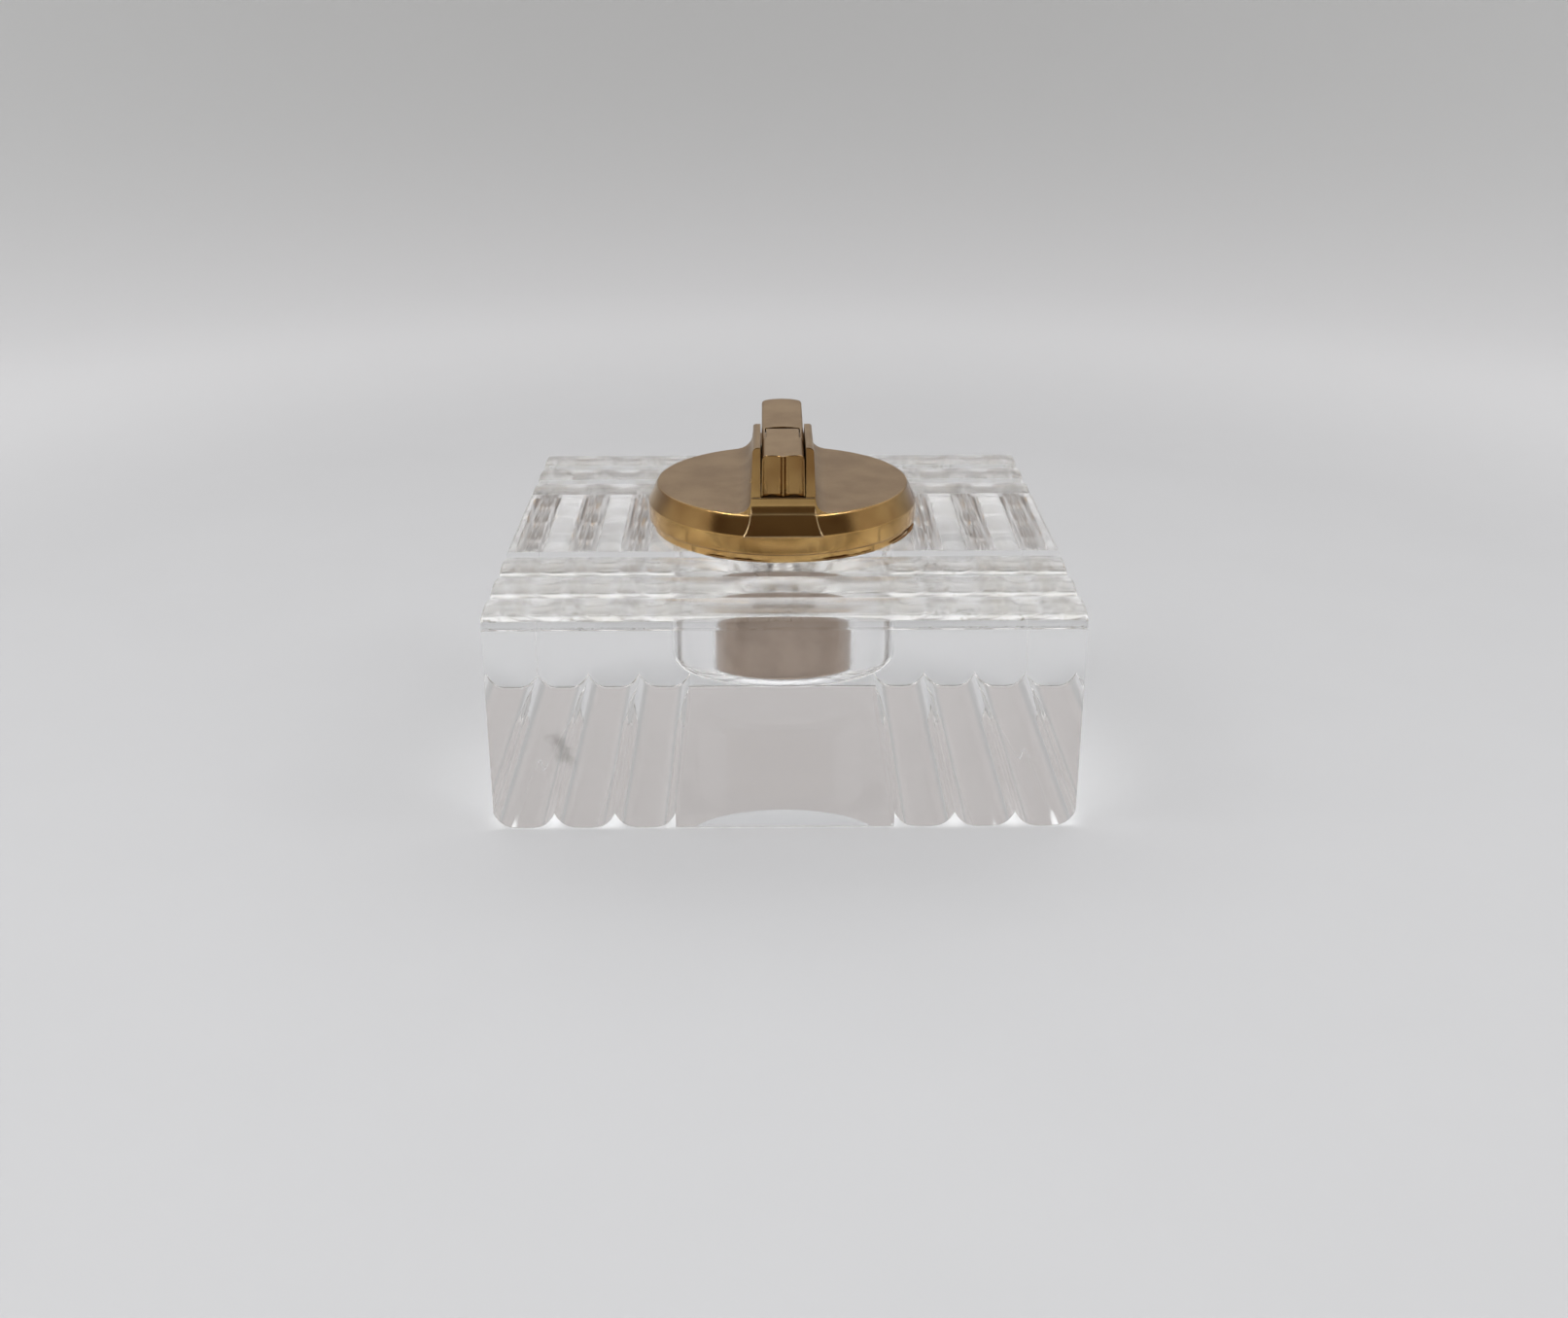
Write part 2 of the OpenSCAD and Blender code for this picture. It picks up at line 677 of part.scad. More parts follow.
// One end of the ridge, which sweeps down over the bevel to the band
module prow() {
  foot = -cover_d / 2 - prow_proud;
  w = ridge_w / 2;
  root = ridge_front + prow_root;
  sweep_foot = band_top + INSET / 3;
  sweep_top = cover_top + prow_r * 0.95;
  flare_a = asin(min(0.99, (ridge_front - foot) / prow_flare_r));
  side = arc([w + prow_flare_r, ridge_front], prow_flare_r, 180, 180 + flare_a);
  intersection() {
    along_x(2 * ridge_w, -ridge_w)
      polygon(concat([[root, sweep_foot], [root, deck_z], [ridge_front, deck_z]],
        arc([ridge_front - prow_r, sweep_top], prow_r, 0, -PROW_TURN), [[foot, sweep_foot]]));
    translate([0, 0, plate_top])
      linear_extrude(deck_z - plate_top)
        polygon(concat([[-w, root], [w, root]], side, flipped(side)));
  }
}

// Both cheeks before the slot is cut, as one block with drafted sides
module cheek_block() {
  w = ridge_w / 2;
  r = cheek_edge_r;
  tip = w - cheek_draft;
  y0 = ridge_front + cheek_setback;
  s = cheek_shoulder_r;
  foot = deck_z - INSET;
  right = concat([[w, foot], [w, deck_z]], arc([tip - r, cheek_top - r], r, 0, 90));
  intersection() {
    along_y(cheek_foot_len + PAST, y0) polygon(concat(right, flipped(right)));
    along_x(2 * w, -w)
      polygon(concat([[y0, foot], [y0 + cheek_foot_len, foot], [y0 + cheek_foot_len, deck_z]],
        arc([y0 + cheek_top_len, cheek_top - s], s, 60, 90), [[y0, cheek_top]]));
  }
}

module cover() {
  color([0.72, 0.58, 0.36])
    difference() {
      union() {
        difference() {
          union() {
            translate([0, 0, plate_top]) rotate_extrude() cover_outline();
            intersection() {
              along_y(ridge_len, ridge_front) ridge_section();
              translate([0, 0, plate_top])
                cylinder(d = cover_top_d - cover_edge, h = cheek_top - plate_top);
            }
            prow();
            mirror([0, 1, 0]) prow();
          }
          translate([0, 0, plate_top]) cover_hollow();
        }
        cheek_block();
        at_cover_screws()
          translate([0, 0, plate_t])
            cylinder(d = cover_boss_d, h = band_h + bevel_h - cover_wall / 2);
      }
      translate([-slot_w / 2, -slot_front, head_top])
        cube([slot_w, slot_front + slot_rear, cheek_top]);
      translate([-slot_w / 2, ridge_front - PAST, deck_z])
        cube([slot_w, ridge_len, cheek_top]);
      bar_x(wheel_at, pin_d + 2 * pin_seat, 2 * ridge_w);
      bar_x(lever_axle_at, pin_d + 2 * pin_seat, 2 * ridge_w);
      at_cover_screws()
        cylinder(d = cover_screw_d + 2 * SOLDER, h = cover_screw_len + 0.2);
    }
}

module cover_screws() {
  color([0.6, 0.56, 0.5])
    at_cover_screws()
      difference() {
        cover_screw_form(0);
        translate([-cover_screw_d, -0.2, -PAST])
          cube([2 * cover_screw_d, 0.4, PAST + 0.35]);
      }
}

module wheel_axle() {
  color([0.7, 0.66, 0.6])
    bar_x(wheel_at, pin_d, ridge_w);
}

module lever_axle() {
  color([0.7, 0.66, 0.6])
    bar_x(lever_axle_at, pin_d, ridge_w - cheek_draft);
}

// A toothed disc along X, centred on the axle
module toothed_disc(d, teeth, depth, width, from, lean) {
  step = 360 / teeth;
  translate([0, wheel_at[0], wheel_at[1]])
    along_x(width, from)
      polygon([for (i = [0:teeth - 1]) for (half = [0, 1])
        let (a = step * (i + half * lean), r = d / 2 - half * depth)
        [r * cos(a), r * sin(a)]]);
}

module spark_wheel() {
  color([0.45, 0.44, 0.43])
    difference() {
      union() {
        toothed_disc(wheel_d, wheel_teeth, wheel_tooth, wheel_w, -wheel_left, 0.5);
        bar_x(wheel_at, hub_d, hub_end - wheel_left, -hub_end);
      }
      bar_x(wheel_at, pin_d + 2 * pin_play, 2 * slot_w);
    }
}

module ratchet_wheel() {
  color([0.55, 0.53, 0.5])
    difference() {
      union() {
        toothed_disc(ratchet_d, ratchet_teeth, ratchet_tooth, ratchet_w, wheel_right, 0.1);
        bar_x(wheel_at, hub_d, hub_end - ratchet_right, ratchet_right);
      }
      bar_x(wheel_at, pin_d + 2 * pin_play, 2 * slot_w);
    }
}

// The lever's side: round fork end, lug on the axle, and a skirt that fades out
module lever_side() {
  k = hood_pin_at;
  l = lever_axle_at;
  tip_z = lever_front_top + lever_rise;
  bar_x(k, 2 * fork_r, lever_w + 2 * PAST);
  bar_x(l, 2 * lug_r, lever_w + 2 * PAST);
  along_x(lever_w + 2 * PAST, -lever_w / 2 - PAST)
    polygon([[k[0], k[1] - fork_r + INSET], [l[0], l[1] - lug_r + INSET],
      [l[0] + lug_r - INSET, l[1]], [lever_rear - 4, tip_z - 2.6],
      [lever_rear, tip_z - thumb_t], [lever_rear, tip_z + PAST], [k[0], tip_z + PAST]]);
}

// The lever's outline from above, with round rear corners
module lever_plan() {
  w = lever_w / 2;
  c = lever_corner_r;
  right = concat([[w, hood_pin_at[0] - fork_r]], arc([w - c, lever_rear - c], c, 0, 90, 4));
  polygon(concat(right, flipped(right)));
}

// The lever's crowned top across its width, with round side edges, below the line z = 0
module lever_crown_section() {
  w = lever_w / 2 + SKIM;
  e = lever_edge_r;
  r = (w * w + lever_crown * lever_crown) / (2 * lever_crown);
  turn = asin((w - e) / (r - e));
  edge = arc([w - e, (r - e) * cos(turn) - r], e, 0, 90 - turn, 4);
  right = concat([[w, -lever_front_h]], edge, arc([0, -r], r, 90 - turn / 2, 90, 1));
  left = flipped(right);
  polygon(concat(right, [for (i = [1:len(left) - 1]) left[i]]));
}

module thumb_lever() {
  inner_w = lever_w - 2 * arm_t;
  front = hood_pin_at[0] - fork_r - PAST;
  rear = lever_rear + PAST;
  roof = lever_front_top - thumb_t;
  color([0.72, 0.58, 0.37])
    difference() {
      intersection() {
        lever_side();
        linear_extrude(cheek_top + 5) lever_plan();
        translate([0, thumb_front, lever_front_top])
          rotate([lever_pitch, 0, 0])
            along_y(60, -30) lever_crown_section();
      }
      along_x(inner_w, -inner_w / 2)
        polygon([[front, deck_z], [rear, deck_z],
          [rear, roof + (rear - thumb_front) * tan(lever_pitch)], [thumb_front, roof],
          [thumb_front, cheek_top + 5], [front, cheek_top + 5]]);
      bar_x(hood_pin_at, pin_d + 2 * pin_seat, 2 * lever_w);
      bar_x(lever_axle_at, pin_d + 2 * pin_play, 2 * lever_w);
    }
}

module return_spring() {
  ceiling = lever_front_top - thumb_t + (spring_y - spring_d / 2 - thumb_front) * tan(lever_pitch);
  color([0.7, 0.7, 0.7])
    translate([0, spring_y, head_top])
      coil(spring_d, spring_wire, ceiling - head_top - 0.05, spring_turns);
}

// A hook on the hood's pin that reaches down in front of the ratchet wheel
module drive_pawl() {
  k = hood_pin_at;
  tip = [wheel_at[0] - ratchet_d / 2 + ratchet_tooth / 2, wheel_at[1] - 0.2];
  w = ratchet_w - 0.1;
  color([0.5, 0.49, 0.47])
    difference() {
      union() {
        bar_x(k, pin_d + 2 * (pin_play + pawl_wall), w, wheel_right + 0.05);
        along_x(w, wheel_right + 0.05)
          polygon([[k[0] + 0.9, k[1] - 1.1], [k[0] - 0.9, k[1] + 1.1], [k[0] - 2.6, k[1] - 2.4],
            [tip[0] - 1.3, tip[1] + 0.4], [tip[0] - 1.2, tip[1] - 0.9], [tip[0], tip[1] - 0.3],
            [tip[0], tip[1]], [tip[0] - 0.5, tip[1] + 0.3], [k[0] - 1.8, k[1] - 3.2]]);
      }
      bar_x(k, pin_d + 2 * pin_play, 2 * slot_w);
    }
}

module hood_pin() {
  color([0.7, 0.66, 0.6])
    bar_x(hood_pin_at, pin_d, lever_w - 0.1);
}

// The hood from above: two hollow flutes in front, shoulders, and a rounded tongue
module hood_plan() {
  w = hood_w / 2;
  t = tongue_w / 2;
  c = tongue_corner_r;
  half = w / 2;
  r = (half * half + flute_depth * flute_depth) / (2 * flute_depth);
  a = asin(half / r);
  flute = arc([half, hood_front + flute_depth - r], r, 90 + a, 90 - a);
  right = concat([for (i = [1:len(flute) - 1]) flute[i]],
    [[w, hood_pin_at[0]], [t, hood_pin_at[0]]],
    arc([t - c, tongue_end - c], c, 0, 90, 4));
  polygon(concat([[0, hood_front]], right, flipped(right)));
}

// The hood across its width, with drafted sides and rounded top edges, below z = 0
module hood_section() {
  w = hood_w / 2;
  e = 0.5;
  tip = w - hood_draft;
  right = concat([[w, hood_bottom - hood_front_top - 1], [w, hood_bottom - hood_front_top]],
    arc([tip - e, -e], e, 0, 90, 4));
  polygon(concat(right, flipped(right)));
}

module snuffer_hood() {
  k = hood_pin_at;
  inner = hood_w / 2 - hood_draft - hood_wall;
  ear_in = tongue_w / 2 - hood_wall;
  color([0.74, 0.6, 0.39])
    difference() {
      intersection() {
        translate([0, 0, hood_bottom])
          linear_extrude(cheek_h) hood_plan();
        translate([0, hood_front, hood_front_top])
          rotate([hood_pitch, 0, 0])
            along_y(40, -10) hood_section();
        union() {
          along_x(hood_w, -hood_w / 2)
            polygon([[hood_front - PAST, hood_bottom], [web_y + WEB_T, hood_bottom],
              [web_y + WEB_T, k[1]], [k[0], k[1]], [k[0], hood_front_top],
              [tongue_end, hood_front_top], [tongue_end, cheek_top],
              [hood_front - PAST, cheek_top]]);
          bar_x(k, 2 * ear_r, hood_w);
        }
      }
      translate([-inner, hood_front + hood_front_t, hood_bottom - PAST])
        cube([2 * inner, web_y - WEB_T - hood_front - hood_front_t,
          hood_ceiling - hood_bottom + PAST]);
      translate([-ear_in, web_y - WEB_T - PAST, hood_bottom - PAST])
        cube([2 * ear_in, tongue_end - web_y + 2 * PAST, hood_ceiling - hood_bottom + PAST]);
      translate([-ear_in, web_y, hood_bottom])
        cube([2 * ear_in, tongue_end - web_y + PAST, tongue_ceiling - hood_bottom]);
      bar_x(k, 2 * (fork_r + fork_gap), hood_w, tongue_w / 2);
      bar_x(k, 2 * (fork_r + fork_gap), hood_w, -tongue_w / 2 - hood_w);
      bar_x(k, pin_d + 2 * pin_play, 2 * hood_w);
    }
}

module snuffer_cup() {
  bottom = wick_tube_top - cup_overlap;
  color([0.68, 0.62, 0.5])
    translate([0, -wick_y, bottom])
      difference() {
        cylinder(d = cup_bore + 2 * cup_wall, h = hood_ceiling - bottom);
        translate([0, 0, -PAST])
          cylinder(d = cup_bore, h = hood_ceiling - bottom - cup_wall + PAST);
      }
}

module snuffer_pad() {
  color([0.2, 0.19, 0.18])
    translate([0, -wick_y, hood_ceiling - cup_wall - pad_t])
      cylinder(d = cup_bore - 0.1, h = pad_t);
}

glass_block();
seal_ring();
base_plate();
fuel_tank();
tank_head();
cotton_packing();
filler_gasket();
filler_screw();
flint_tube();
flint_spring();
flint();
flint_screw();
wick_tube();
wick();
cover();
cover_screws();
wheel_axle();
spark_wheel();
ratchet_wheel();
lever_axle();
thumb_lever();
return_spring();
drive_pawl();
hood_pin();
snuffer_hood();
snuffer_cup();
snuffer_pad();
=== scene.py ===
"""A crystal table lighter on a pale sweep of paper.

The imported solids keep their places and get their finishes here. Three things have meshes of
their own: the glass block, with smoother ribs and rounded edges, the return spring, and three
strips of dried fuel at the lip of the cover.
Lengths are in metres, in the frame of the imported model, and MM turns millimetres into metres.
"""
import math

import bmesh
import bpy
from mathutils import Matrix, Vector


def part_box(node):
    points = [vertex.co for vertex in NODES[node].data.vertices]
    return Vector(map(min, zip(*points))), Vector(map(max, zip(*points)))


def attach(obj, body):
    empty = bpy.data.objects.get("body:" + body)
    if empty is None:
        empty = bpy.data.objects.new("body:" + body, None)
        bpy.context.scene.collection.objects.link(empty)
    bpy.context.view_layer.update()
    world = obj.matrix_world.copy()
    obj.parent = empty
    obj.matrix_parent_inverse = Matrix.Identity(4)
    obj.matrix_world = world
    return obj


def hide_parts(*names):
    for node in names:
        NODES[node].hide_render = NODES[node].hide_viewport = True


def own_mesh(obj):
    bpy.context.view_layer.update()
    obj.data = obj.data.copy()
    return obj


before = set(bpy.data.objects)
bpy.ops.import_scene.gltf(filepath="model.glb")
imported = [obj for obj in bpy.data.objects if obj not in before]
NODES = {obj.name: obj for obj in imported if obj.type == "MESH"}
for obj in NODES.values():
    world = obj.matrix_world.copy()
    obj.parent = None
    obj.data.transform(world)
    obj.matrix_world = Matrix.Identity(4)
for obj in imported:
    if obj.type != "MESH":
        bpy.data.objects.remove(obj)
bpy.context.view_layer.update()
MM = 0.001

# ---------------------------------------------------------------- sizes from the frame
HALF_W, HALF_D, BLOCK_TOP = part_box("glass_block")[1]
LIP_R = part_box("base_plate")[1][0]
TANK_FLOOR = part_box("fuel_tank")[0][2]
RING_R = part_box("seal_ring")[1][0]

# ---------------------------------------------------------------- form of the glass block
RIB_COUNT = 3
RIB_DEPTH = 2.8 * MM
RIB_STEPS = 36
TOP_PITCH = 10.7 * MM
CROWN_R = 15 * MM
SHOULDER_R = 1.35 * MM
SHOULDER_ROUNDS = 12
FLANK_ANGLE = math.radians(76)
GROOVE_R = 0.1 * MM
BASE_PITCH = 10.4 * MM
BASE_POWER = 3.6
SIDE_EDGE_R = 0.5 * MM
FRONT_EDGE_R = 0.15 * MM
FOOT_EDGE_R = 0.3 * MM
CORNER_R = 0.1 * MM
EDGE_STEPS = 5
LEAST_STEP = 0.001 * MM
RING_SLACK = 0.2 * MM
TANK_SLACK = 0.8 * MM
POCKET_R = RING_R + RING_SLACK
POCKET_FLOOR = TANK_FLOOR - TANK_SLACK
POCKET_CORNER_R = 3 * MM
POCKET_CORNER_STEPS = 12
CUTTER_EXCESS = 2 * MM
ROUND_STEPS = 128
SHARP_DEGREES = 32
NORMAL_WEIGHT = 100

# Finishes of the block's faces, by the slope of the face and its place
PLAIN, POCKET, WORN, SCUFFED, FLAT, GROOVE, FLANK, REAR = range(8)
WORN_SLOPE = 0.3
SLIGHT_SLOPE = 0.1
DOWN_SLOPE = 0.95
REAR_SLOPE = 0.9
FLANK_RUN = 1.2 * MM

# ---------------------------------------------------------------- looks of the materials
# Each noise pattern is its scale, its detail and the levels where its share is 0 and 1.
# Each pair that ends in ROUGH is what the noise is multiplied by, and what is then added.
GLASS_CLOUD = (260, 4.0, 0.3, 0.7)
GLASS_CLOUD_ROUGH = (0.6, 0.7)
DUST_SPECKS = (1700, 2.0, 0.53, 0.63)
DUST_PATCHES = (120, 4.0, 0.42, 0.62)
DUST_COLOR = (0.3, 0.28, 0.22, 1)
GRIME_STREAKS = (420, 5.0, 0.35, 0.7)
GRIME_STRETCH = (1, 0.06, 1)
GLASS_IOR = 1.52

# The grey smear low on the front: place, turn and size, then how its rim breaks up
SMUDGE = ((-37.8 * MM, -HALF_D, 15.2 * MM), math.radians(-24), (2.2 * MM, 5 * MM, 5.6 * MM))
SMUDGE_NOISE = (500, 4.0)
SMUDGE_SPREAD = 1.6
SMUDGE_RIM = (0.9, 1.7)
SMUDGE_COLOR = (0.42, 0.42, 0.4, 1)

# The finishes of the glass, in the order of the numbers above
CRYSTALS = (
    {"name": "clear_crystal", "roughness": 0.0, "smudge": SMUDGE},
    {"name": "pocket_crystal", "roughness": 0.12},
    {"name": "worn_crystal", "roughness": 0.15, "clearness": 0.94, "dust": 1.0,
     "shadow_tone": 0.9, "grime": (0.82, 0.8, 0.74, 1)},
    {"name": "scuffed_crystal", "roughness": 0.03, "clearness": 0.98, "shadow_tone": 0.93},
    {"name": "flat_crystal", "roughness": 0.025, "clearness": 0.97, "dust": 0.6,
     "shadow_tone": 0.9, "grime": (0.84, 0.83, 0.79, 1)},
    {"name": "groove_crystal", "roughness": 0.06, "clearness": 0.96, "dust": 0.5,
     "shadow_tone": 0.7, "grime": (0.8, 0.79, 0.75, 1)},
    # The flank's low tone is painted shade: the block's shadow on the floor just behind it
    {"name": "flank_crystal", "roughness": 0.0, "shadow_tone": 0.9, "tone": 0.84},
    {"name": "rear_crystal", "roughness": 0.0, "shadow_tone": 0.3},
)

TARNISH = (180, 5.0, 0.35, 0.7)
TARNISH_SHARE = 0.5
METAL_GRAIN = (2600, 3.0)
METAL_GRAIN_SPREAD = 0.12
METAL_GRAIN_BELOW = 0.04
METAL_GRAIN_DEPTH = 0.02 * MM

# The gilt: two colours for each kind of face, and the steps between the kinds
GILT_SATIN = ((164, 138, 104), (144, 118, 86))
GILT_SLOPE = ((176, 144, 92), (132, 98, 58))
GILT_RIM = ((202, 164, 104), (168, 130, 76))
GILT_FOOT = (112, 78, 40)
# Paler colour along rounded edges: partly wear, partly a painted highlight
GILT_EDGE_WEAR_AND_HIGHLIGHT = (206, 190, 166)
GILT_CLOUD = (140, 5.0, 0.3, 0.75)
GILT_BROAD = (55, 3.0, 0.35, 0.65)
GILT_GRAIN = (3000, 3.0)
GILT_GRAIN_STRENGTH = 0.15
GILT_GRAIN_DEPTH = 0.01 * MM
SATIN_ROUGH = (0.1, 0.33)
POLISHED_ROUGH = (0.08, 0.1)
TOP_STEP = (23.3 * MM, 23.5 * MM)
UPWARD_STEP = (0.72, 0.88)
ENDWAYS_STEP = (0.45, 0.7)
UPRIGHT_STEP = (0.1, 0.3)
FOOT_STEP = (BLOCK_TOP + 1.1 * MM, BLOCK_TOP + 1.7 * MM)
FOOT_NOISE = (400, 4.0)
FOOT_WAVES = 1.4 * MM
FOOT_SHARE = 0.8
# Edge rounding, also the width of the paler edge (partly wear, partly a painted highlight)
EDGE_ROUND_R = 0.4 * MM
EDGE_SAMPLES = 8
EDGE_STEP = (0.86, 0.99)
EDGE_SHARE = 0.4

SOFT_DETAIL = 6.0
SOFT_STEP = (0.3, 0.7)
SOFT_STRENGTH = 0.5
SOFT_DEPTH = 0.1 * MM

# ---------------------------------------------------------------- small pieces of the object
# Strips of dried fuel at the lip: start and stop in degrees, and thickness
RESIDUES = ((-36, 4, 0.42 * MM), (-78, -48, 0.22 * MM), (-125, -96, 0.18 * MM))
RESIDUE_STEPS = 60
RESIDUE_SIDES = 8
RESIDUE_OUT = 0.4 * MM
RESIDUE_UP = 0.1 * MM
RESIDUE_LEAST = 0.02 * MM
# Its swelling: a mean share of the thickness, and the size and pace of two waves
RESIDUE_MEAN = 0.55
RESIDUE_SLOW = (0.25, 11)
RESIDUE_FAST = (0.2, 29)

# ---------------------------------------------------------------- stage, lights and camera
FLOOR_GAP = 0.08 * MM
FLOOR_R = 0.46
SWEEP_R = 0.5
SWEEP_DEGREES = 80
SWEEP_STEPS = 32
SWEEP_AROUND = 96
WALL_H = 0.12
WALL_LEAN = 0.2

# Colours of the paper outwards, and the distances at which one turns into the next. The rings
# are painted light and shade: darker close to the object, lighter further out, darker far off
# and lighter again high on the sweep.
PAPER_NEAR = (203, 204, 206)
PAPER_MID = (225, 226, 228)
PAPER_FAR = (209, 211, 212)
PAPER_HIGH = (227, 225, 225)
NEAR_TO_MID = (0.2, 0.4)
MID_TO_FAR = (0.42, 0.78)
FAR_TO_HIGH = (0.8, 0.92)
PAPER_NOISE = (30, 3.0)
PAPER_UNEVEN = 3
PAPER_ROUGH = 0.9
PAPER_GLOSS = 0.2

# The dark room in front, on the sweep's wall and in the world behind it. On the wall it is a
# painted reflection, as the wall is painted dark only to reflections that haven't gone through
# glass.
ROOM_COLOR = (0.15, 0.115, 0.09, 1)
THROUGH_GLASS = 0.5
ROOM_AHEAD = (0.38, 0.55)
ROOM_WALL = (0.7, 0.85)
ROOM_FRONT = (0.15, 0.4)
ROOM_SIDES = (0.8, 0.95)
TENT_COLOR = (1, 1, 1, 1)
ROOF_COLOR = (0.2, 0.2, 0.2, 1)
ROOF_STEP = (0.68, 0.85)
ROOF_LEAN = 0.25

# Each lamp's name, place and power in watts
LAMPS = (("left_box", (-0.54, -0.2, 0.85), 3.85), ("right_box", (0.54, -0.2, 0.85), 3.25))
LAMP_AIM = (0, 0, 0.03)
LAMP_SIZE = 0.5

# The camera's turn is in degrees, and its lens and sensor are in millimetres
CAMERA_PLACE = (-2.76 * MM, -317.04 * MM, 140.05 * MM)
CAMERA_TURN = (67.862, 0.029, -0.569)
CAMERA_LENS = 39.99
CAMERA_SENSOR = 36
CAMERA_NEAREST = 0.01

LIGHT_BOUNCES = 24
GLOSSY_BOUNCES = 12


# ---------------------------------------------------------------- small mesh helpers
def new_object(name, verts, faces):
    mesh = bpy.data.meshes.new(name)
    mesh.from_pydata(verts, [], faces)
    mesh.validate()
    obj = bpy.data.objects.new(name, mesh)
    bpy.context.scene.collection.objects.link(obj)
    return obj


def face_outwards(obj):
    bm = bmesh.new()
    bm.from_mesh(obj.data)
    bmesh.ops.recalc_face_normals(bm, faces=bm.faces)
    bm.to_mesh(obj.data)
    bm.free()


def apply_modifiers(obj):
    bpy.context.view_layer.update()
    graph = bpy.context.evaluated_depsgraph_get()
    mesh = bpy.data.meshes.new_from_object(obj.evaluated_get(graph))
    obj.modifiers.clear()
    obj.data = mesh


def smooth(obj):
    for polygon in obj.data.polygons:
        polygon.use_smooth = True


def add_boolean(obj, cutter, operation):
    modifier = obj.modifiers.new(operation.title(), "BOOLEAN")
    modifier.operation = operation
    modifier.solver = "EXACT"
    modifier.object = cutter


def revolve(name, outline, steps=ROUND_STEPS):
    """A turned surface from an outline of (radius, height), closed where it meets the axis."""
    verts, rings = [], []
    for radius, height in outline:
        if radius == 0:
            rings.append([len(verts)])
            verts.append((0, 0, height))
            continue
        rings.append(list(range(len(verts), len(verts) + steps)))
        for k in range(steps):
            a = 2 * math.pi * k / steps
            verts.append((radius * math.cos(a), radius * math.sin(a), height))
    faces = []
    for low, high in zip(rings, rings[1:]):
        for k in range(steps):
            m = (k + 1) % steps
            corners = [low[k % len(low)], low[m % len(low)],
                       high[m % len(high)], high[k % len(high)]]
            faces.append(list(dict.fromkeys(corners)))
    obj = new_object(name, verts, faces)
    face_outwards(obj)
    return obj


# ---------------------------------------------------------------- the glass block
def shoulder_centre():
    """Middle of the arc that is tangent to the crown's arc and to the flank."""
    along, down = TOP_PITCH / 2, SHOULDER_R
    for _ in range(SHOULDER_ROUNDS):
        run = (SHOULDER_R + (RIB_DEPTH - down) * math.cos(FLANK_ANGLE)) / math.sin(FLANK_ANGLE)
        along = TOP_PITCH / 2 - run
        down = CROWN_R - math.sqrt((CROWN_R - SHOULDER_R) ** 2 - along**2)
    return along, down


def top_drop(u):
    """Depth below a top rib's crown: a low arc, round shoulders and steep flat flanks.
    The place u runs from -1 to 1 across the rib."""
    half = TOP_PITCH / 2
    s = abs(u) * half
    along, down = shoulder_centre()
    if s <= along * CROWN_R / (CROWN_R - SHOULDER_R):
        return CROWN_R - math.sqrt(CROWN_R**2 - s * s)
    if s <= along + SHOULDER_R * math.sin(FLANK_ANGLE):
        return down - math.sqrt(SHOULDER_R**2 - (s - along) ** 2)
    away = math.sqrt((half - s) ** 2 + GROOVE_R**2) - GROOVE_R
    return RIB_DEPTH - math.tan(FLANK_ANGLE) * away


def base_drop(u):
    """Depth of a lower rib's face, which is nearly flat with round sides."""
    return RIB_DEPTH * abs(u) ** BASE_POWER


def rib_places(half, pitch, drop):
    """Places across the block from one edge to the other, each with its depth."""
    near = []
    for rib in range(RIB_COUNT):
        for k in range(0 if rib == 0 else 1, RIB_STEPS + 1):
            u = math.sin(math.pi / 2 * (2 * k / RIB_STEPS - 1))
            near.append((-half + (rib + (u + 1) / 2) * pitch, drop(u)))
    near.append((RIB_COUNT * pitch - half, 0.0))
    return near + [(-place, depth) for place, depth in reversed(near)]


def edge_drop(distance, radius):
    """How far a rounded edge lies below the face, at this distance from the wall."""
    if distance >= radius:
        return 0.0
    return radius - math.sqrt(radius**2 - (radius - distance) ** 2)


def edge_places(half, radius):
    """Places along a rib: close together in the rounded edges, and none between them."""
    near = [radius * (1 - math.cos(math.pi / 2 * k / EDGE_STEPS)) for k in range(EDGE_STEPS + 1)]
    return [-half + d for d in near] + [half - d for d in reversed(near)]


def with_edge_places(profile, half, radius):
    """Adds the rounded edge's places to a rib profile, with depths read off it."""
    rows = list(profile)
    for d in edge_places(half, radius)[1:-1]:
        for k, ((p0, z0), (p1, z1)) in enumerate(zip(rows, rows[1:])):
            if p0 < d < p1 and min(d - p0, p1 - d) > LEAST_STEP:
                rows.insert(k + 1, (d, z0 + (z1 - z0) * (d - p0) / (p1 - p0)))
                break
    return rows


